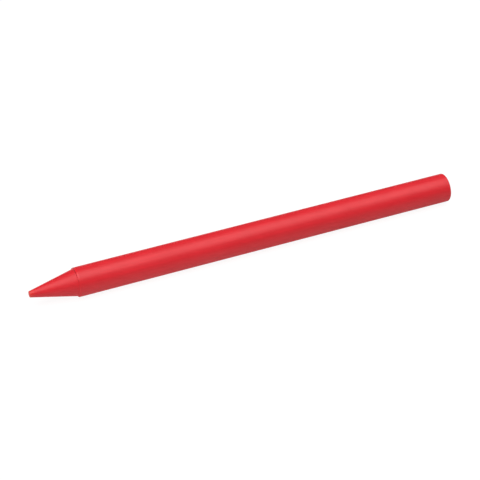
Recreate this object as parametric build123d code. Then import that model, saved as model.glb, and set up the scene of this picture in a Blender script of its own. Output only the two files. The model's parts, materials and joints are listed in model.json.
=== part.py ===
from build123d import *
import os

# Twist crayon. Each piece is drawn about the Z axis, with zero at the barrel's front rim and Z running to the
# rear, and is then laid along X with its point at -X. All sizes are in millimetres.

# Barrel
barrel_diameter = 9.0
barrel_length = 124.0
barrel_wall = 1.0
front_rim_round = 0.3
rear_edge_round = 0.4
mouth_chamfer = 0.15

# Nose cone
shoulder_step = 0.36
cone_length = 14.25
seam_gap = 0.03
lip_wall = 0.15
lip_round = 0.06
nose_wall = 0.6
spigot_length = 9.8
spigot_gap = 0.05
spigot_chamfer = 0.3
socket_depth = 4.6

# Crayon core and its chuck
core_diameter = 1.5
core_exposure = 0.06
core_gap = 0.04
core_end_round = 0.06
chuck_wall = 0.5
cup_depth = 4.0
chuck_slit_width = 0.3
chuck_slit_depth = 5.0
chuck_end_gap = 0.3
chuck_chamfer = 0.2
stem_diameter = 1.2
stem_length = 1.8

# Carrier, guide tube and spiral sleeve
lead = 4.0
lug_width = 0.9
lug_side_gap = 0.1
lug_end_gap = 0.12
carrier_shoulder = 2.5
carrier_gap = 0.08
tube_wall = 0.62
tube_gap = 0.1
slot_end_gap = 0.5
groove_depth = 0.5
groove_land = 1.4
groove_run_out = 1.0
sleeve_end_gap = 0.4
retract_travel = 1.0
key_width = 1.2
key_height = 0.3

# Tail bearing and end plug
bearing_flange = 1.8
bearing_plug = 3.0
bearing_gap = 0.06
bearing_end_gap = 0.5
bearing_chamfer = 0.2
spare_room = 18.6
plug_length = 12.0
plug_wall = 1.2
plug_floor = 1.6
plug_chamfer = 0.15

# Rings on the spigot
friction_ring_place = 1.4
friction_ring_section = 0.7
friction_ring_gap = 0.03
retaining_ring_place = 3.6
retaining_ring_thickness = 0.8
retaining_ring_width = 0.75
retaining_ring_bite = 0.35
retaining_ring_gap = 0.05
retaining_ring_opening = 2.6
ring_side_gap = 0.06

# Radii, from the outside in and then from the core out
barrel_radius = barrel_diameter / 2
bore_radius = barrel_radius - barrel_wall
cone_base_radius = barrel_radius - shoulder_step
spigot_radius = bore_radius - spigot_gap
core_radius = core_diameter / 2
core_way_radius = core_radius + core_gap
lip_radius = core_way_radius + lip_wall
carrier_radius = core_radius + chuck_wall
tube_bore_radius = carrier_radius + carrier_gap
tube_radius = tube_bore_radius + tube_wall
sleeve_bore_radius = tube_radius + tube_gap
groove_floor_radius = sleeve_bore_radius + groove_depth
groove_cut_depth = groove_depth + tube_gap / 2
groove_middle_radius = groove_floor_radius - groove_cut_depth / 2
lug_radius = groove_floor_radius - lug_end_gap
slot_width = lug_width + 2 * lug_side_gap
key_radius = bore_radius + key_height

# Places along the axis, from the lip to the rear
lip_at = -cone_length
core_tip_at = lip_at - core_exposure
cone_base_at = -seam_gap
cone_slope = (cone_base_radius - lip_radius) / (cone_base_at - lip_at)
way_front_at = lip_at + (tube_bore_radius + nose_wall - lip_radius) / cone_slope
core_way_end_at = way_front_at - (tube_bore_radius - core_way_radius)
tube_front_at = spigot_length - socket_depth
sleeve_front_at = spigot_length + sleeve_end_gap
groove_front_at = sleeve_front_at + groove_land
lug_foremost_at = groove_front_at + groove_run_out
plug_front_at = barrel_length - plug_length
flange_rear_at = plug_front_at - spare_room
tube_rear_at = flange_rear_at - bearing_flange
bearing_front_at = tube_rear_at - bearing_plug
carrier_rear_at = bearing_front_at - bearing_end_gap - retract_travel
rear_lug_at = carrier_rear_at - carrier_shoulder
front_lug_at = rear_lug_at - lead / 2
carrier_front_at = front_lug_at - carrier_shoulder
extend_travel = front_lug_at - lug_foremost_at
chuck_front_at = way_front_at + chuck_end_gap + extend_travel
core_rear_at = chuck_front_at + cup_depth
groove_rear_at = rear_lug_at + retract_travel + groove_run_out
sleeve_rear_at = groove_rear_at + groove_land


def turned(*outline):
    """Solid of revolution from (place along the axis, radius) corners."""
    corners = [(radius, 0, along) for along, radius in outline]
    return revolve(make_face(Polyline(*corners, close=True)), Axis.Z)


def disc(start, end, radius):
    """Plain cylinder between two places along the axis."""
    return turned((start, 0), (start, radius), (end, radius), (end, 0))


def tube(start, end, inner, outer):
    """Plain ring or tube between two places along the axis."""
    return turned((start, inner), (start, outer), (end, outer), (end, inner))


def rim(solid, along, radius):
    """Circular edges of a solid at one place along the axis and one radius."""
    circles = solid.edges().filter_by(GeomType.CIRCLE)
    return [e for e in circles if abs(e.arc_center.Z - along) < 1e-4 and abs(e.radius - radius) < 1e-4]


def keys(start, end):
    """The two ribs that stop the sleeve and the plug from turning in the barrel."""
    bar = Pos(0, 0, (start + end) / 2) * Box(key_width, 2 * key_radius, end - start)
    return bar - disc(start, end, bore_radius / 2)


def make_barrel():
    body = tube(0, barrel_length, bore_radius, barrel_radius)
    body = fillet(rim(body, 0, barrel_radius), front_rim_round)
    body = fillet(rim(body, barrel_length, barrel_radius), rear_edge_round)
    body = chamfer(rim(body, 0, bore_radius), mouth_chamfer)
    ring_end = retaining_ring_place + retaining_ring_thickness
    body -= disc(retaining_ring_place, ring_end, bore_radius + retaining_ring_bite)
    return body - keys(sleeve_front_at, barrel_length)


def make_end_plug():
    body = disc(plug_front_at, barrel_length, bore_radius)
    body = chamfer(rim(body, barrel_length, bore_radius), plug_chamfer)
    body += keys(plug_front_at, barrel_length - plug_chamfer)
    return body - disc(plug_front_at, barrel_length - plug_floor, bore_radius - plug_wall)


def make_spiral_sleeve():
    body = disc(sleeve_front_at, sleeve_rear_at, bore_radius)
    body += keys(sleeve_front_at, sleeve_rear_at)
    body -= disc(sleeve_front_at, sleeve_rear_at, sleeve_bore_radius)
    body -= groove_cutter()
    body -= entry_channel(groove_rear_at - lead / 2, groove_angle(groove_rear_at) + 180)
    return body - entry_channel(groove_rear_at, groove_angle(groove_rear_at))


def groove_angle(along):
    """Angle of the groove about the axis at one place along it, in degrees. The front lug rests at zero."""
    return 360 * (front_lug_at - along) / lead


def groove_cutter():
    """Left-hand helical bar that both lugs run in."""
    path = Helix(lead, groove_rear_at - groove_front_at, groove_middle_radius, lefthand=True)
    section = Plane(path @ 0, x_dir=(1, 0, 0), z_dir=path % 0) * Rectangle(groove_cut_depth, slot_width)
    bar = sweep(section, path=path, is_frenet=True)
    return Pos(0, 0, groove_front_at) * Rot(0, 0, groove_angle(groove_front_at)) * bar


def entry_channel(start, angle):
    """Straight channel that lets one lug into the groove from the sleeve's rear face."""
    bar = Box(groove_cut_depth, slot_width, sleeve_rear_at - start)
    return Rot(0, 0, angle) * Pos(groove_middle_radius, 0, (start + sleeve_rear_at) / 2) * bar


def make_retaining_ring():
    outer = bore_radius + retaining_ring_bite
    ring_end = retaining_ring_place + retaining_ring_thickness
    body = tube(retaining_ring_place, ring_end, outer - retaining_ring_width, outer)
    middle = (retaining_ring_place + ring_end) / 2
    return body - Pos(0, outer, middle) * Box(retaining_ring_opening, outer, 2 * retaining_ring_thickness)


def make_nose_cone():
    body = turned(
        (lip_at, core_way_radius),
        (lip_at, lip_radius),
        (cone_base_at, cone_base_radius),
        (cone_base_at, spigot_radius),
        (spigot_length, spigot_radius),
        (spigot_length, tube_radius),
        (tube_front_at, tube_radius),
        (tube_front_at, tube_bore_radius),
        (way_front_at, tube_bore_radius),
        (core_way_end_at, core_way_radius),
    )
    body = fillet(rim(body, lip_at, lip_radius), lip_round)
    body = chamfer(rim(body, spigot_length, spigot_radius), spigot_chamfer)
    friction_floor = bore_radius - friction_ring_section - 2 * friction_ring_gap
    friction_end = friction_ring_place + friction_ring_section + 2 * ring_side_gap
    body -= tube(friction_ring_place, friction_end, friction_floor, bore_radius)
    retaining_floor = bore_radius - retaining_ring_width - retaining_ring_gap
    retaining_start = retaining_ring_place - ring_side_gap
    retaining_end = retaining_ring_place + retaining_ring_thickness + ring_side_gap
    return body - tube(retaining_start, retaining_end, retaining_floor, bore_radius)


def make_friction_ring():
    half = friction_ring_section / 2
    middle = friction_ring_place + ring_side_gap + half
    return Pos(0, 0, middle) * Torus(bore_radius - friction_ring_gap - half, half)


def make_guide_tube():
    body = tube(tube_front_at, tube_rear_at, tube_bore_radius, tube_radius)
    slot_front = lug_foremost_at - lug_width / 2 - slot_end_gap
    slot_middle = (slot_front + tube_rear_at) / 2
    return body - Pos(0, 0, slot_middle) * Box(4 * tube_radius, slot_width, tube_rear_at - slot_front)


def make_tail_bearing():
    body = disc(bearing_front_at, tube_rear_at, tube_bore_radius)
    body = chamfer(rim(body, bearing_front_at, tube_bore_radius), bearing_chamfer)
    return body + disc(tube_rear_at, flange_rear_at, bore_radius - bearing_gap)


def make_carrier():
    body = disc(carrier_front_at, carrier_rear_at, carrier_radius)
    body -= disc(carrier_front_at, carrier_front_at + stem_length, stem_diameter / 2)
    body += lug(front_lug_at, 1)
    return body + lug(rear_lug_at, -1)


def lug(along, side):
    """One round lug that stands out from the carrier, on the +X or -X side of it."""
    root = carrier_radius / 2
    pin = Cylinder(lug_width / 2, lug_radius - root)
    return Pos(side * (lug_radius + root) / 2, 0, along) * Rot(0, 90, 0) * pin


def make_core_chuck():
    body = disc(chuck_front_at, carrier_front_at, carrier_radius)
    body = chamfer(rim(body, chuck_front_at, carrier_radius), chuck_chamfer)
    body += disc(carrier_front_at, carrier_front_at + stem_length, stem_diameter / 2)
    body -= disc(chuck_front_at, core_rear_at, core_radius)
    slit_middle = chuck_front_at + chuck_slit_depth / 2
    body -= Pos(0, 0, slit_middle) * Box(4 * carrier_radius, chuck_slit_width, chuck_slit_depth)
    return body - Pos(0, 0, slit_middle) * Box(chuck_slit_width, 4 * carrier_radius, chuck_slit_depth)


def make_crayon_core():
    body = disc(core_tip_at, core_rear_at, core_radius)
    return fillet(rim(body, core_tip_at, core_radius), core_end_round)


pieces = {
    "barrel": make_barrel(),
    "end_plug": make_end_plug(),
    "spiral_sleeve": make_spiral_sleeve(),
    "retaining_ring": make_retaining_ring(),
    "nose_cone": make_nose_cone(),
    "friction_ring": make_friction_ring(),
    "guide_tube": make_guide_tube(),
    "tail_bearing": make_tail_bearing(),
    "carrier": make_carrier(),
    "core_chuck": make_core_chuck(),
    "crayon_core": make_crayon_core(),
}

# Laid on its side along X, centred over the origin, with the barrel resting on the ground plane
middle_at = (barrel_length + core_tip_at) / 2
lying = Pos(-middle_at, 0, barrel_radius) * Rot(0, 90, 0)
os.makedirs("parts", exist_ok=True)
for name, solid in pieces.items():
    placed = lying * solid
    export_step(placed, f"parts/{name}.step")
    print(f"{name}: {placed.volume:.3f} mm3, {len(placed.solids())} solid, valid {placed.is_valid}")
print(f"twist {360 * -retract_travel / lead:.1f} to {360 * extend_travel / lead:.1f} degrees")
print(f"travel {-retract_travel:.3f} to {extend_travel:.3f} mm, overall {barrel_length - core_tip_at:.3f} mm")
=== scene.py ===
# %% [markdown]
# # A twist crayon
# A twist crayon is a thin stick of coloured wax inside a plastic barrel. Turning the cone at the front winds
# the wax out through the cone's blunt tip. The measured solids of all its pieces are loaded first, because
# every piece drawn here has to sit where its solid does and move with the right body.

# %% Load the solids
import json
import math
from collections import namedtuple

import bmesh
import bpy
from mathutils import Matrix, Vector


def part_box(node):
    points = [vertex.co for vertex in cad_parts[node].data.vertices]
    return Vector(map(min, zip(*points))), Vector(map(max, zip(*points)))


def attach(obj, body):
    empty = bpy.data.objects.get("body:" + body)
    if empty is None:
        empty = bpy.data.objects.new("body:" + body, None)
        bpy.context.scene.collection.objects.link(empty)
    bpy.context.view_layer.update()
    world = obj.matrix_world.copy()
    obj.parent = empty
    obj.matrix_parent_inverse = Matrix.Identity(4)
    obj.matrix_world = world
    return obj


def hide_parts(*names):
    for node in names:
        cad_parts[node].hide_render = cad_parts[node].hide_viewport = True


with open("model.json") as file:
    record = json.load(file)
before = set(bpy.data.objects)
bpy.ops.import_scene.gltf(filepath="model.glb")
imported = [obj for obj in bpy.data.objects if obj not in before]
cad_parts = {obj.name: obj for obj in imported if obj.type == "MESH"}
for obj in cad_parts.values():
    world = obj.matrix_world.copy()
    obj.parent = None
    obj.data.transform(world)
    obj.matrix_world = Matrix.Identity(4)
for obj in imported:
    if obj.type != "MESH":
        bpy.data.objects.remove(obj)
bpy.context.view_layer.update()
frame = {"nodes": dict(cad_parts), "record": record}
mm = 0.001
print("solids:", ", ".join(sorted(frame["nodes"])))

# %% [markdown]
# ## Measure before modelling
# The crayon lies along X with its point at -X. All its outside pieces are round, so a place along the axis
# and a radius describe any point on them. The places could be typed in, but reading them from the boxes of
# the solids means that the drawn pieces can't drift away from what they stand for. A solid's mesh is made of
# flats, so across the axis its box is a hair too thin: the height of the axis comes from the joint that the
# nose turns on, and the barrel's radius from the record of its outside.

# %% Read the barrel's place and size
def named(rows, name):
    """The row with this name in one of the record's lists."""
    return next(row for row in rows if row["name"] == name)


barrel_low, barrel_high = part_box("barrel")
barrel_front = barrel_low.x
barrel_rear = barrel_high.x
twist = named(frame["record"]["behaviour"]["joints"], "twist")
axis_height = twist["pos_m"][2]
barrel_outside = named(frame["record"]["mounts"], "barrel_outside")
barrel_radius = barrel_outside["dims"]["r_mm"] * mm
print(f"axis {axis_height / mm:.3f} mm up, barrel radius {barrel_radius / mm:.3f} mm")
print(f"barrel from {barrel_front / mm:.2f} to {barrel_rear / mm:.2f} mm")

# %% [markdown]
# ## A lathe for the round pieces
# A barrel, a cone and a stick of wax are all shapes that a lathe makes. A cylinder could be created and cut,
# but its rims would need rounding afterwards. Here an outline is drawn as a few corners in one plane, the
# chosen corners are rounded with a vertex bevel, and the outline is spun once round the axis. The spin merges
# its last ring with its first, so the skin closes without a seam.

# %% The lathe
spin_steps = 192
round_steps = 6
merge_distance = 2e-7


def turn(outline, rounds, closed=True):
    """Spin (place, radius) corners round the axis. rounds gives sizes of rounds by a corner's number."""
    bm = bmesh.new()
    corners = [bm.verts.new((place, 0, axis_height + radius)) for place, radius in outline]
    for near, far in zip(corners, corners[1:]):
        bm.edges.new((near, far))
    if closed:
        bm.edges.new((corners[-1], corners[0]))
    for number, size in rounds.items():
        bmesh.ops.bevel(
            bm, geom=[corners[number]], offset=size, offset_type="OFFSET", segments=round_steps,
            profile=0.5, affect="VERTICES", material=-1,
        )
    bmesh.ops.spin(
        bm, geom=bm.verts[:] + bm.edges[:], cent=(0, 0, axis_height), axis=(1, 0, 0),
        angle=math.tau, steps=spin_steps, use_merge=True,
    )
    bmesh.ops.remove_doubles(bm, verts=bm.verts[:], dist=merge_distance)
    bmesh.ops.recalc_face_normals(bm, faces=bm.faces[:])
    return bm


print("lathe ready,", spin_steps, "steps a turn")

# %% [markdown]
# ## From skin to piece
# A turned skin becomes an object. It could be drawn about its own middle and then moved into place, but
# measures and patterns are easier in coordinates that all pieces share, so every object stays at the origin
# and has its place in its mesh. A piece of the crayon also says which body it rides on and which solid it
# stands for.

# %% The helpers that make a piece
def add_object(name, bm):
    """Put a skin into the scene as an object at the origin."""
    mesh = bpy.data.meshes.new(name)
    bm.to_mesh(mesh)
    bm.free()
    made = bpy.data.objects.new(name, mesh)
    bpy.context.scene.collection.objects.link(made)
    return made


def make_piece(name, bm, body, node):
    """Turn a skin into a piece that rides on a body and stands for one of its solids."""
    piece = add_object(name, bm)
    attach(piece, body)
    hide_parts(node)
    print(f"{name} stands for {node} and rides on {body}")
    return piece


print("piece helpers ready")

# %% [markdown]
# A piece's faces are shaded smooth, and edges sharper than 35 degrees stay crisp. Plain smooth shading would
# bend the light on the long straight faces beside a small round, so a Weighted Normal modifier lets the large
# faces decide.

# %% The helper that smooths a piece
crisp_angle = math.radians(35)


def smooth(piece):
    """Shade a piece smooth, with crisp edges and with flat faces that look flat."""
    for polygon in piece.data.polygons:
        polygon.use_smooth = True
    piece.data.set_sharp_from_angle(angle=crisp_angle)
    weighted = piece.modifiers.new("flat_faces_lead", "WEIGHTED_NORMAL")
    weighted.keep_sharp = True
    weighted.weight = 100
    triangles = sum(len(polygon.vertices) - 2 for polygon in piece.data.polygons)
    print(f"{piece.name} is smooth, with {triangles} triangles")


print("smoothing ready")

# %% [markdown]
# ## The barrel
# The barrel is a moulded tube, 9 mm thick with a 1 mm wall. Its front rim has a small round that catches the
# light as a thin bright line beside the seam, and its rear edge is rounded a little more. Inside it has a
# groove behind the mouth, where a split ring sits, so the groove's ends are read from the ring's box. The
# groove could be cut in afterwards, but in an outline it costs only four corners. So all of this is one
# outline, which follows the outside back and the bore forward.

# %% Turn the barrel
barrel_wall = 1.0 * mm
bore_radius = barrel_radius - barrel_wall
front_rim_round = 0.3 * mm
rear_edge_round = 0.4 * mm
mouth_chamfer = 0.15 * mm
split_ring_low, split_ring_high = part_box("retaining_ring")
ring_groove_front = split_ring_low.x
ring_groove_rear = split_ring_high.x
ring_groove_depth = 0.35 * mm
ring_groove_radius = bore_radius + ring_groove_depth
barrel_skin = turn(
    [
        (barrel_front, barrel_radius),
        (barrel_rear, barrel_radius),
        (barrel_rear, bore_radius),
        (ring_groove_rear, bore_radius),
        (ring_groove_rear, ring_groove_radius),
        (ring_groove_front, ring_groove_radius),
        (ring_groove_front, bore_radius),
        (barrel_front + mouth_chamfer, bore_radius),
        (barrel_front, bore_radius + mouth_chamfer),
    ],
    {0: front_rim_round, 1: rear_edge_round},
)
barrel_shell = make_piece("barrel_shell", barrel_skin, "barrel", "barrel")

# %% [markdown]
# ## Two keyways in the bore
# Two straight keyways run along the bore to the rear end. They stop the parts inside from turning with the
# nose, and their ends show as small notches in the rear rim. They could be modelled face by face, but a bar
# through the bore, taken away with a Boolean, gives them at their true width. The Boolean is applied at once
# and the bar is deleted, so nothing but the finished barrel is left. Where two faces lie in one plane, a
# Boolean can leave points on top of each other, so these are merged.

# %% The helpers for keys
key_width = 1.2 * mm


def key_bar(name, front, rear, reach):
    """A bar across the axis, as wide as a key, from one place along the axis to another."""
    bm = bmesh.new()
    bmesh.ops.create_cube(bm, size=1)
    bmesh.ops.scale(bm, verts=bm.verts[:], vec=(rear - front, 2 * reach, key_width))
    bmesh.ops.translate(bm, verts=bm.verts[:], vec=((front + rear) / 2, 0, axis_height))
    return add_object(name, bm)


def combine(piece, tool, operation):
    """Apply a Boolean to a piece, merge doubled points and delete the tool that it used."""
    boolean = piece.modifiers.new("key", "BOOLEAN")
    boolean.operation = operation
    boolean.object = tool
    boolean.solver = "EXACT"
    evaluated = piece.evaluated_get(bpy.context.evaluated_depsgraph_get())
    made = bpy.data.meshes.new_from_object(evaluated)
    bm = bmesh.new()
    bm.from_mesh(made)
    bmesh.ops.remove_doubles(bm, verts=bm.verts[:], dist=merge_distance)
    bmesh.ops.dissolve_degenerate(bm, edges=bm.edges[:], dist=merge_distance)
    bm.to_mesh(made)
    bm.free()
    piece.modifiers.clear()
    piece.data = made
    bpy.data.objects.remove(tool)


print("key helpers ready")

# %% [markdown]
# The keyways start where the spiral sleeve does, because its keys stop there. The bar runs a little past the
# rear rim, so that the Boolean has no two faces in one plane there.

# %% Cut the keyways
sleeve_low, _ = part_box("spiral_sleeve")
keyway_front = sleeve_low.x
keyway_depth = 0.3 * mm
keyway_radius = bore_radius + keyway_depth
overshoot = 1.0 * mm
keyway_bar = key_bar("keyway_bar", keyway_front, barrel_rear + overshoot, keyway_radius)
combine(barrel_shell, keyway_bar, "DIFFERENCE")
smooth(barrel_shell)

# %% [markdown]
# ## The nose cone
# The cone is the part that a hand turns. It stands 0.36 mm inside the barrel's outside, so a small shoulder
# shows at the seam, and it runs straight to a blunt lip just wide enough for the wax. Behind the seam a
# spigot reaches into the barrel. A cone and a tube could be joined to make it, but on the real crayon cone,
# spigot and the ways inside are one moulding, so here they are one outline. It has many corners, so the
# outside is measured first.

# %% Measure the outside of the nose
nose_low, nose_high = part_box("nose_cone")
lip = nose_low.x
lip_radius = 0.94 * mm
lip_round = 0.06 * mm
seam_gap = 0.004 * mm
shoulder_step = 0.36 * mm
cone_base = barrel_front - seam_gap
cone_base_radius = barrel_radius - shoulder_step
cone_slope = (cone_base_radius - lip_radius) / (cone_base - lip)
spigot_gap = 0.05 * mm
spigot_chamfer = 0.3 * mm
spigot_radius = bore_radius - spigot_gap
spigot_rear = nose_high.x
print(f"lip at {lip / mm:.2f} mm, half angle of the cone {math.degrees(math.atan(cone_slope)):.1f} degrees")

# %% [markdown]
# The spigot has two grooves, one for the rubber ring that makes the twist stiff and one for the split ring
# that holds the nose in the barrel. Both are a little wider than their rings.

# %% Measure the spigot's grooves
ring_side_gap = 0.06 * mm
rubber_low, rubber_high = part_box("friction_ring")
rubber_groove_front = rubber_low.x - ring_side_gap
rubber_groove_rear = rubber_high.x + ring_side_gap
rubber_groove_radius = 2.74 * mm
ring_seat_front = ring_groove_front - ring_side_gap
ring_seat_rear = ring_groove_rear + ring_side_gap
ring_seat_radius = 2.7 * mm
print(f"rubber groove {(rubber_groove_rear - rubber_groove_front) / mm:.2f} mm wide")
print(f"split ring's groove {(ring_seat_rear - ring_seat_front) / mm:.2f} mm wide")

# %% [markdown]
# Inside, a narrow way lets the wax through the lip. It widens as soon as the cone's wall is thick enough, and
# at the rear it widens again to the seat that holds the guide tube.

# %% Measure the ways inside and turn the nose
nose_wall = 0.6 * mm
wax_way_radius = 0.79 * mm
tube_way_radius = 1.33 * mm
tube_way_front = lip + (tube_way_radius + nose_wall - lip_radius) / cone_slope
wax_way_end = tube_way_front - (tube_way_radius - wax_way_radius)
tube_low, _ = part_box("guide_tube")
tube_seat_front = tube_low.x
tube_seat_radius = 1.95 * mm
nose_skin = turn(
    [
        (lip, wax_way_radius),
        (lip, lip_radius),
        (cone_base, cone_base_radius),
        (cone_base, spigot_radius),
        (rubber_groove_front, spigot_radius),
        (rubber_groove_front, rubber_groove_radius),
        (rubber_groove_rear, rubber_groove_radius),
        (rubber_groove_rear, spigot_radius),
        (ring_seat_front, spigot_radius),
        (ring_seat_front, ring_seat_radius),
        (ring_seat_rear, ring_seat_radius),
        (ring_seat_rear, spigot_radius),
        (spigot_rear - spigot_chamfer, spigot_radius),
        (spigot_rear, spigot_radius - spigot_chamfer),
        (spigot_rear, tube_seat_radius),
        (tube_seat_front, tube_seat_radius),
        (tube_seat_front, tube_way_radius),
        (tube_way_front, tube_way_radius),
        (wax_way_end, wax_way_radius),
    ],
    {1: lip_round},
)
nose_shell = make_piece("nose_shell", nose_skin, "nose", "nose_cone")
smooth(nose_shell)

# %% [markdown]
# ## The end plug
# A cup-shaped plug closes the rear of the barrel, flush with its rim. A fine chamfer round it leaves a thin
# groove between plug and barrel. In the middle of the face is the shallow dimple with a trimmed stub that
# plastic leaves where it entered the mould. It could be a texture, but a real hollow has its shadow from
# every side. The outline starts and ends on the axis, so it isn't closed.

# %% Turn the end plug
plug_low, plug_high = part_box("end_plug")
plug_front = plug_low.x
plug_rear = plug_high.x
plug_chamfer = 0.15 * mm
plug_wall = 1.2 * mm
plug_floor_thickness = 1.6 * mm
plug_floor = plug_rear - plug_floor_thickness
dimple_radius = 0.9 * mm
dimple_depth = 0.14 * mm
dimple_floor = plug_rear - dimple_depth
dimple_edge_round = 0.06 * mm
stub_radius = 0.34 * mm
stub_drop = 0.04 * mm
stub_top = plug_rear - stub_drop
stub_top_radius = 0.26 * mm
stub_edge_round = 0.04 * mm
plug_skin = turn(
    [
        (plug_floor, 0),
        (plug_floor, bore_radius - plug_wall),
        (plug_front, bore_radius - plug_wall),
        (plug_front, bore_radius),
        (plug_rear - plug_chamfer, bore_radius),
        (plug_rear, bore_radius - plug_chamfer),
        (plug_rear, dimple_radius),
        (dimple_floor, dimple_radius - dimple_depth),
        (dimple_floor, stub_radius),
        (stub_top, stub_top_radius),
        (stub_top, 0),
    ],
    {6: dimple_edge_round, 9: stub_edge_round},
    closed=False,
)
plug_cap = make_piece("plug_cap", plug_skin, "barrel", "end_plug")

# %% [markdown]
# The plug's two keys fill the ends of the keyways and stand back from the rear face as far as the chamfer
# does. The same kind of bar makes both, joined to the plug this time. It would also run across the hollow of
# the cup, so everything nearer the axis than the middle of the cup's wall is first cut out of it. The bar is
# a hair short at both ends, because a Boolean leaves slivers where two faces lie in one plane.

# %% Join the plug's keys
key_gap = 0.01 * mm
key_front = plug_front + key_gap
key_rear = plug_rear - plug_chamfer - key_gap
key_pair = key_bar("key_pair", key_front, key_rear, keyway_radius)
wall_middle_radius = bore_radius - plug_wall / 2
hollow_skin = turn(
    [
        (plug_front - overshoot, 0),
        (plug_front - overshoot, wall_middle_radius),
        (plug_rear + overshoot, wall_middle_radius),
        (plug_rear + overshoot, 0),
    ],
    {},
    closed=False,
)
combine(key_pair, add_object("key_hollow", hollow_skin), "DIFFERENCE")
combine(plug_cap, key_pair, "UNION")
smooth(plug_cap)

# %% [markdown]
# ## The wax core
# The core is an extruded stick of coloured wax, 1.5 mm thick, of which only the end shows in the blunt tip
# until it is wound out. Its front edge is worn round by use. It is a solid of revolution too, so the lathe
# makes it, and the finish gives it the look of wax.

# %% Turn the wax core
core_low, core_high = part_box("crayon_core")
wax_tip = core_low.x
wax_rear = core_high.x
wax_radius = 0.75 * mm
wax_end_round = 0.06 * mm
wax_skin = turn(
    [(wax_tip, 0), (wax_tip, wax_radius), (wax_rear, wax_radius), (wax_rear, 0)],
    {1: wax_end_round},
    closed=False,
)
wax_core = make_piece("wax_core", wax_skin, "carrier", "crayon_core")
smooth(wax_core)

# %% [markdown]
# ## Patterns for the finishes
# No real surface is the same all over. Its changes could be painted into pictures, but noise needs no files
# and stays sharp however near the camera comes. So every finish below starts from noise on the piece's own
# coordinates. They are in metres, so a scale of 1000 gives grains of about a millimetre. A Mapping node
# squeezes the noise along one axis to make streaks. A Map Range node then turns it into a small change of
# colour, roughness or height, which is what keeps plastic from looking like flat paint.

# %% Helpers for a finish and its noise
def new_finish(name):
    """A material with nodes, with its tree and its shader."""
    finish = bpy.data.materials.new(name)
    finish.use_nodes = True
    return finish, finish.node_tree, finish.node_tree.nodes["Principled BSDF"]


def grain(tree, scale, squeeze=(1, 1, 1), detail=3.0):
    """Noise on the piece's own coordinates, squeezed along X, Y or Z."""
    place = tree.nodes.new("ShaderNodeTexCoord")
    mapping = tree.nodes.new("ShaderNodeMapping")
    mapping.inputs["Scale"].default_value = squeeze
    noise = tree.nodes.new("ShaderNodeTexNoise")
    noise.inputs["Scale"].default_value = scale
    noise.inputs["Detail"].default_value = detail
    tree.links.new(place.outputs["Object"], mapping.inputs["Vector"])
    tree.links.new(mapping.outputs["Vector"], noise.inputs["Vector"])
    return noise.outputs["Fac"]


def spread(tree, value, low, high, start=0.3, end=0.7):
    """Map a value's range from start to end onto low to high."""
    ranged = tree.nodes.new("ShaderNodeMapRange")
    ranged.inputs["From Min"].default_value = start
    ranged.inputs["From Max"].default_value = end
    ranged.inputs["To Min"].default_value = low
    ranged.inputs["To Max"].default_value = high
    tree.links.new(value, ranged.inputs["Value"])
    return ranged.outputs["Result"]


print("noise helpers ready")

# %% [markdown]
# A value like that mixes two colours with a Mix node, is brought together with another one in a Math node, or
# bends the shading through a Bump node. A Mix node has sockets of the same names for numbers, vectors and
# colours, so the ones for colours are picked by their type.

# %% Helpers that use the noise
def colour_socket(sockets, name):
    """The socket of a Mix node that has this name and holds a colour."""
    return next(socket for socket in sockets if socket.name == name and socket.type == "RGBA")


def tint(tree, factor, dark, light):
    """A colour between two others, by a factor. Either may be fixed or come from another node."""
    mix = tree.nodes.new("ShaderNodeMix")
    mix.data_type = "RGBA"
    tree.links.new(factor, mix.inputs["Factor"])
    for name, colour in (("A", dark), ("B", light)):
        socket = colour_socket(mix.inputs, name)
        if isinstance(colour, bpy.types.NodeSocket):
            tree.links.new(colour, socket)
        else:
            socket.default_value = (*colour, 1)
    return colour_socket(mix.outputs, "Result")


def blend_values(tree, first, second, operation):
    """Two values brought together by a Math node."""
    math_node = tree.nodes.new("ShaderNodeMath")
    math_node.operation = operation
    tree.links.new(first, math_node.inputs[0])
    tree.links.new(second, math_node.inputs[1])
    return math_node.outputs["Value"]


def raise_surface(tree, shader, height, distance):
    """Let a height pattern, as deep as distance, bend the shading."""
    bump = tree.nodes.new("ShaderNodeBump")
    bump.inputs["Strength"].default_value = 1.0
    bump.inputs["Distance"].default_value = distance
    tree.links.new(height, bump.inputs["Height"])
    tree.links.new(bump.outputs["Normal"], shader.inputs["Normal"])


print("colour and relief helpers ready")

# %% [markdown]
# ## Wear and painted light at the rims
# Wear gathers at the rims, and some rims also get painted light or shade. It could be painted by hand, but on
# a turned piece a rim is one place along X, so the X coordinate is enough to find it, and a little noise
# makes it patchy. Some marks lie only on the upper side: polish where a finger rests, a painted highlight on
# the front rim and painted shade in the seam's corner. There the Z coordinate lets them fade in from a given
# height.

# %% The helpers for wear and painted light
# A rim's mark: wear, a stain, or painted light or shade, with how much it is polished.
RimWearAndPaintedLight = namedtuple("RimWearAndPaintedLight", "edge end colour polish above")
fade_height = 0.26 * barrel_radius


def own_place(tree):
    """The X, Y and Z of each spot in the piece's own coordinates."""
    place = tree.nodes.new("ShaderNodeTexCoord")
    axes = tree.nodes.new("ShaderNodeSeparateXYZ")
    tree.links.new(place.outputs["Object"], axes.inputs["Vector"])
    return axes.outputs


def wear_and_painted_light_mask(tree, rim):
    """A patchy value that is 1 at a rim's edge and has faded to 0 where the rim's mark ends."""
    place = own_place(tree)
    nearness = spread(tree, place["X"], 1.0, 0.0, start=rim.edge, end=rim.end)
    patches = spread(tree, grain(tree, scale=900), 0.7, 1.0)
    wear_and_light_amount = blend_values(tree, nearness, patches, "MULTIPLY")
    if rim.above is not None:
        upper_side = spread(tree, place["Z"], 0.0, 1.0, start=rim.above, end=rim.above + fade_height)
        wear_and_light_amount = blend_values(tree, wear_and_light_amount, upper_side, "MULTIPLY")
    return wear_and_light_amount


print("wear helpers ready")

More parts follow.
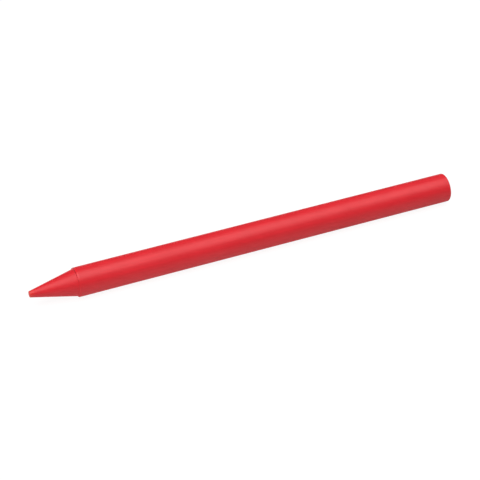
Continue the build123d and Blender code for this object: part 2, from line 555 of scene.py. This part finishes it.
# %% [markdown]
# ## Satin red plastic
# The barrel, nose and plug are moulded in one red. Close up, such plastic isn't one colour: the pigment
# is a little uneven, the melt leaves faint streaks along the flow, and handling polishes it in places. The
# fine texture of the mould makes the shine soft. All of it is kept weak, because from a hand's distance the
# real crayon looks almost even.

# %% The recipe for red plastic
def red_plastic(name, deep, bright, rims):
    """Satin red between two tones, with rims in other colours, for wear, a wax stain, a painted highlight or
    painted shade, and smoother by their polish.
    """
    finish, tree, shader = new_finish(name)
    clouds = grain(tree, scale=160, detail=4.0)
    streaks = grain(tree, scale=1400, squeeze=(0.02, 1, 1), detail=2.0)
    pigment = blend_values(tree, clouds, streaks, "MULTIPLY")
    colour = tint(tree, spread(tree, pigment, 0.0, 1.0, start=0.12, end=0.4), deep, bright)
    roughness = spread(tree, grain(tree, scale=90, detail=5.0), 0.42, 0.52)
    for rim in rims:
        # A rim's colour is wear, a stain, a painted highlight or painted shade; its polish only lowers
        # roughness.
        wear_and_light_amount = wear_and_painted_light_mask(tree, rim)
        colour = tint(tree, wear_and_light_amount, colour, rim.colour)
        polish = spread(tree, wear_and_light_amount, 0.0, rim.polish, start=0.0, end=1.0)
        roughness = blend_values(tree, roughness, polish, "SUBTRACT")
    tree.links.new(colour, shader.inputs["Base Color"])
    tree.links.new(roughness, shader.inputs["Roughness"])
    raise_surface(tree, shader, grain(tree, scale=4200, detail=2.0), distance=0.004 * mm)
    shader.inputs["IOR"].default_value = 1.5
    return finish


print("red plastic ready")

# %% [markdown]
# Fingers polish the barrel's two rims most, so these are smoother and a little lighter. On the upper side,
# where the finger rests that turns the nose, the front rim is paler still, partly wear and partly a painted
# highlight, which with the polish makes the thin bright line behind the seam. In the upper corner of the seam
# a dark red is painted shade, which draws the dark line in front of it. At the lip, wax rubs off and tints
# the plastic orange.

# %% Say where the rims are worn and where light and shade are painted
# These places set the wear, a painted highlight on the front rim and painted shade in the corner of the seam.
front_wear_highlight_end = barrel_front + 0.75 * mm
painted_seam_shade_end = barrel_front + 0.2 * mm
rear_wear_end = barrel_rear - 0.6 * mm
lip_wear_end = lip + 1.8 * mm
front_wear_highlight_above = axis_height + 0.58 * barrel_radius
painted_seam_shade_above = axis_height + 0.78 * barrel_radius
# A paler red for the front rim's upper side: partly wear, partly a painted highlight.
pale_highlight_red = (0.85, 0.026, 0.037)
# A dark red painted as shade in the upper corner of the seam.
painted_seam_shade = (0.22, 0.008, 0.012)
rubbed_red = (0.79, 0.021, 0.032)
waxy_red = (0.85, 0.042, 0.030)
front_wear_highlight_start = barrel_front + front_rim_round
# The front rim: polish and paler wear, and on its upper side a painted highlight.
front_rim_wear_highlight = RimWearAndPaintedLight(front_wear_highlight_start, front_wear_highlight_end, pale_highlight_red, polish=0.33, above=front_wear_highlight_above)
# The seam's upper corner: a narrow band of painted shade, with no polish.
seam_shade_band = RimWearAndPaintedLight(barrel_front, painted_seam_shade_end, painted_seam_shade, polish=0.0, above=painted_seam_shade_above)
rear_rim = RimWearAndPaintedLight(barrel_rear, rear_wear_end, rubbed_red, polish=0.14, above=None)
lip_rim = RimWearAndPaintedLight(lip, lip_wear_end, waxy_red, polish=0.1, above=None)
# Prints the height at which the painted shade in the seam begins.
print("the seam's dirt begins", round((painted_seam_shade_above - axis_height) / mm, 2), "mm above the axis")

# %% [markdown]
# Barrel and nose have the same tones, and the plug comes from another batch, a shade deeper. One material
# could serve all three, but a rim is found by its place along X, so the barrel's wear, painted highlight and
# painted shade would also show on the nose in front of it and on the plug. Each piece therefore has its own.

# %% Finish the three red pieces
def finish_piece(piece, finish):
    """Give a drawn piece its finish."""
    piece.data.materials.clear()
    piece.data.materials.append(finish)
    print(piece.name, "is finished in", finish.name)


deep_red = (0.735, 0.0118, 0.0208)
bright_red = (0.80, 0.0152, 0.0258)
deep_plug_red = (0.725, 0.0118, 0.0208)
bright_plug_red = (0.79, 0.0152, 0.0258)
# The barrel's rims: wear at both, a painted highlight on the front one and painted shade in the seam.
barrel_wear_and_painted_light = [front_rim_wear_highlight, seam_shade_band, rear_rim]
finish_piece(barrel_shell, red_plastic("barrel_red", deep_red, bright_red, barrel_wear_and_painted_light))
finish_piece(nose_shell, red_plastic("nose_red", deep_red, bright_red, [lip_rim]))
finish_piece(plug_cap, red_plastic("plug_red", deep_plug_red, bright_plug_red, []))

# %% [markdown]
# ## Coloured wax
# The core is the same red with more orange in it. Extruded wax has fine lines along its length, small
# pale flecks of filler and a dull, slightly greasy shine. The flecks lie flat in the surface, so they need no
# shape of their own: only the peaks of a fine noise are let through.

# %% Make the wax
deep_wax = (0.76, 0.043, 0.030)
bright_wax = (0.84, 0.064, 0.041)
filler_fleck = (0.87, 0.20, 0.15)
wax_red, wax_tree, wax_shader = new_finish("wax_red")
wax_lines = grain(wax_tree, scale=5200, squeeze=(0.03, 1, 1), detail=2.0)
wax_clouds = grain(wax_tree, scale=700, detail=4.0)
wax_body = tint(wax_tree, spread(wax_tree, wax_clouds, 0.0, 1.0), deep_wax, bright_wax)
wax_peaks = grain(wax_tree, scale=6500, detail=1.0)
wax_flecks = spread(wax_tree, wax_peaks, 0.0, 0.5, start=0.66, end=0.74)
wax_tree.links.new(tint(wax_tree, wax_flecks, wax_body, filler_fleck), wax_shader.inputs["Base Color"])
wax_tree.links.new(spread(wax_tree, wax_clouds, 0.42, 0.56), wax_shader.inputs["Roughness"])
raise_surface(wax_tree, wax_shader, wax_lines, distance=0.012 * mm)
wax_shader.inputs["IOR"].default_value = 1.44
finish_piece(wax_core, wax_red)

# %% [markdown]
# ## The parts inside
# The sleeve, guide tube, bearing and carrier are natural white plastic, which is creamy and slightly shiny.
# Their solids have the right shape and are never seen from outside, so they are kept as they are and only
# get a finish. Each has its own small shift of tone, as mouldings from different batches do.

# %% Make the white plastic
def dress(node, finish):
    """Put a finish in a solid's material slots."""
    for place in frame["nodes"][node].material_slots:
        place.material = finish
    print(node, "is finished in", finish.name)


def white_plastic(name, dark, light):
    """Natural white plastic, between two tones."""
    finish, tree, shader = new_finish(name)
    clouds = spread(tree, grain(tree, scale=260, detail=4.0), 0.0, 1.0)
    tree.links.new(tint(tree, clouds, dark, light), shader.inputs["Base Color"])
    tree.links.new(spread(tree, grain(tree, scale=500), 0.30, 0.42), shader.inputs["Roughness"])
    raise_surface(tree, shader, grain(tree, scale=3600, detail=2.0), distance=0.003 * mm)
    return finish


dress("spiral_sleeve", white_plastic("sleeve_white", dark=(0.72, 0.71, 0.66), light=(0.80, 0.79, 0.74)))
dress("guide_tube", white_plastic("tube_white", dark=(0.68, 0.68, 0.65), light=(0.76, 0.76, 0.73)))
dress("tail_bearing", white_plastic("bearing_white", dark=(0.65, 0.65, 0.62), light=(0.73, 0.73, 0.70)))
dress("carrier", white_plastic("carrier_white", dark=(0.76, 0.76, 0.73), light=(0.84, 0.84, 0.81)))

# %% [markdown]
# ## Brass and spring steel
# The chuck that grips the wax is turned brass, and the split ring is spring steel. Turning leaves rings
# round the axis. A shader that stretches its shine could stand for them, but close up the rings themselves
# show. So noise squeezed in Y and Z and fine along X gives the tool marks, as roughness and as a very shallow
# relief.

# %% Make the metals
def turned_metal(name, dark, light, rough_low, rough_high):
    """Bare metal with fine rings round the axis and a little tarnish."""
    finish, tree, shader = new_finish(name)
    shader.inputs["Metallic"].default_value = 1.0
    rings = grain(tree, scale=9000, squeeze=(1, 0.02, 0.02), detail=2.0)
    tarnish = spread(tree, grain(tree, scale=800, detail=5.0), 0.0, 1.0)
    tree.links.new(tint(tree, tarnish, dark, light), shader.inputs["Base Color"])
    tree.links.new(spread(tree, rings, rough_low, rough_high), shader.inputs["Roughness"])
    raise_surface(tree, shader, rings, distance=0.004 * mm)
    return finish


dark_brass = (0.62, 0.40, 0.14)
light_brass = (0.78, 0.56, 0.24)
dark_steel = (0.48, 0.48, 0.50)
light_steel = (0.62, 0.62, 0.63)
dress("core_chuck", turned_metal("chuck_brass", dark_brass, light_brass, rough_low=0.22, rough_high=0.36))
dress("retaining_ring", turned_metal("ring_steel", dark_steel, light_steel, rough_low=0.18, rough_high=0.30))

# %% [markdown]
# ## Black rubber
# The friction ring on the spigot is moulded rubber. It is nearly black, dull, and dusted with the fine
# powder that keeps rubber rings from sticking together. An even black would look like a hole, so the powder
# lightens it in patches.

# %% Make the rubber
clean_rubber = (0.012, 0.012, 0.012)
dusty_rubber = (0.045, 0.044, 0.042)
ring_rubber, rubber_tree, rubber_shader = new_finish("ring_rubber")
powder = spread(rubber_tree, grain(rubber_tree, scale=1500, detail=5.0), 0.0, 1.0, start=0.45, end=0.75)
rubber_colour = tint(rubber_tree, powder, clean_rubber, dusty_rubber)
rubber_tree.links.new(rubber_colour, rubber_shader.inputs["Base Color"])
rubber_roughness = spread(rubber_tree, powder, 0.55, 0.75, start=0.0, end=1.0)
rubber_tree.links.new(rubber_roughness, rubber_shader.inputs["Roughness"])
raise_surface(rubber_tree, rubber_shader, grain(rubber_tree, scale=5000), distance=0.005 * mm)
dress("friction_ring", ring_rubber)

# %% [markdown]
# ## The table
# The crayon lies on a plain white table. One sheet could be the table, but if it were bright enough to look
# white it would light the crayon too much from below. A photographer lights the background apart from the
# subject, and two sheets in one place do the same here. The camera sees only the first, which is bright and
# takes a faint shadow. The crayon sees only the second, which is duller and sends a soft light up from below.
# Both are part of the stage and not of the crayon.

# %% The helpers for the stage
def stage_part(name, bm, white, glow):
    """A part of the stage that reflects some light and gives off some of its own."""
    part = add_object(name, bm)
    finish, _, shader = new_finish(name)
    shader.inputs["Base Color"].default_value = (white, white, white, 1)
    shader.inputs["Roughness"].default_value = 0.9
    shader.inputs["Specular IOR Level"].default_value = 0.0
    shader.inputs["Emission Color"].default_value = (1, 1, 1, 1)
    shader.inputs["Emission Strength"].default_value = glow
    part.data.materials.append(finish)
    print(name, "is on the stage")
    return part


def show_to_camera_only(part):
    """Let a part of the stage neither light, reflect in nor shade the crayon."""
    part.visible_diffuse = False
    part.visible_glossy = False
    part.visible_shadow = False


print("stage helpers ready")

# %% [markdown]
# Two faces in one plane can disturb each other in a render, so the second sheet lies a hair below the first.

# %% Make the two sheets of the table
table_half_width = 3.0
sheet_drop = 0.1 * mm
front_glow = 0.27


def flat_sheet(height):
    """The skin of a square sheet, as wide as the table."""
    bm = bmesh.new()
    bmesh.ops.create_grid(bm, x_segments=1, y_segments=1, size=table_half_width)
    bmesh.ops.translate(bm, verts=bm.verts[:], vec=(0, 0, height))
    return bm


show_to_camera_only(stage_part("floor", flat_sheet(0), white=0.12, glow=0.93))
bounce_sheet = stage_part("bounce_sheet", flat_sheet(-sheet_drop), white=0.5, glow=front_glow)
bounce_sheet.visible_camera = False

# %% [markdown]
# The crayon's lower side is a little deeper towards the rear end. Its plastic is the same from end to end, so
# the light has to make the difference: the second sheet fades from below the front rim to below the rear one.

# %% Let the second sheet fade
rear_glow = 0.19
sheet_tree = bounce_sheet.active_material.node_tree
sheet_shader = sheet_tree.nodes["Principled BSDF"]
sheet_place = own_place(sheet_tree)
sheet_glow = spread(sheet_tree, sheet_place["X"], front_glow, rear_glow, start=barrel_front, end=barrel_rear)
sheet_tree.links.new(sheet_glow, sheet_shader.inputs["Emission Strength"])
print(f"the second sheet glows {front_glow} at the front and {rear_glow} at the rear")

# %% [markdown]
# ## The backdrop
# A camera that is held low looks past the table into the room, which is dim. A white dome over the table
# gives it a plain background there too. It could be a curved sheet behind the crayon, but a dome works from
# every side. It glows just as much as the far end of the table, so no line shows where they meet.

# %% Put up the backdrop
dome_radius = 2.9
dome_skin = bmesh.new()
bmesh.ops.create_uvsphere(dome_skin, u_segments=48, v_segments=24, radius=dome_radius)
show_to_camera_only(stage_part("backdrop", dome_skin, white=0, glow=0.946))

# %% [markdown]
# ## Soft studio light
# A picture of a studio all round could light the crayon, but single lights can be moved one at a time. One
# wide soft box hangs over the crayon. Its reflection is the broad bright band along the barrel, and its long
# side runs with the crayon so that the band stays even from end to end. A second, weaker light stands off the
# point and is turned towards the crayon. It brightens the cone and the shoulder at the seam, which are turned
# more towards the point than the barrel's side is.

# %% Hang the soft box and set up the second light
def area_light(name, width, depth, radiance, location):
    """A flat light of even brightness, facing down. Its power grows with its area."""
    light = bpy.data.lights.new(name, "AREA")
    light.shape = "RECTANGLE"
    light.size = width
    light.size_y = depth
    light.energy = radiance * math.pi * width * depth
    lamp = bpy.data.objects.new(name, light)
    lamp.location = location
    bpy.context.scene.collection.objects.link(lamp)
    print(f"{name} gives {light.energy:.2f} W")
    return lamp


area_light("soft_box", width=1.4, depth=0.65, radiance=2.25, location=(-0.08, -0.107, 0.6))
point_fill = area_light("point_fill", width=0.6, depth=0.6, radiance=0.61, location=(-0.9, -0.1, 0.35))
point_fill.rotation_euler = (-point_fill.location).to_track_quat("-Z", "Y").to_euler()

# %% [markdown]
# The room around is dim, which lets the lower side fall off to a deeper red, and the table lights it from
# below. A satin surface shows no picture of the room, so an even grey is enough. The Standard view transform
# keeps colours as bright and pure as they are set, where Blender's usual one would soften this red.

# %% Dim the room
room_grey = 0.136
room = bpy.data.worlds.new("room")
room.use_nodes = True
room.node_tree.nodes["Background"].inputs["Color"].default_value = (room_grey, room_grey, room_grey, 1)
bpy.context.scene.world = room
bpy.context.scene.view_settings.view_transform = "Standard"
print("room is a grey of", room_grey)

# %% [markdown]
# ## The camera
# The crayon is seen from above and from its pointed end's side, with a long lens that keeps its sides almost
# parallel. Standing 23.4 degrees round to the left and looking down 36.6 degrees puts the axis on the slant
# that it has in the picture. A constraint could aim the camera, but worked out from two angles and one point
# that is easy to find in the picture, the middle of the front rim, each number can be matched by itself.

# %% Place the camera
elevation = math.radians(36.58)
azimuth = math.radians(-23.41)
level = Vector((-math.sin(azimuth), math.cos(azimuth), 0))
right = Vector((math.cos(azimuth), math.sin(azimuth), 0))
forward = level * math.cos(elevation) - Vector((0, 0, math.sin(elevation)))
up = level * math.sin(elevation) + Vector((0, 0, math.cos(elevation)))
rim_middle = Vector((barrel_front, 0, axis_height))
shift_right = 48.74 * mm
shift_up = 12.59 * mm
camera_distance = 532.5 * mm
lens = bpy.data.cameras.new("camera")
lens.lens = 135
lens.sensor_width = 36
camera = bpy.data.objects.new("camera", lens)
camera.location = rim_middle + right * shift_right + up * shift_up - forward * camera_distance
camera.rotation_euler = Matrix((right, up, -forward)).transposed().to_euler()
bpy.context.scene.collection.objects.link(camera)
bpy.context.scene.camera = camera
print("camera at", [round(value, 4) for value in camera.location])
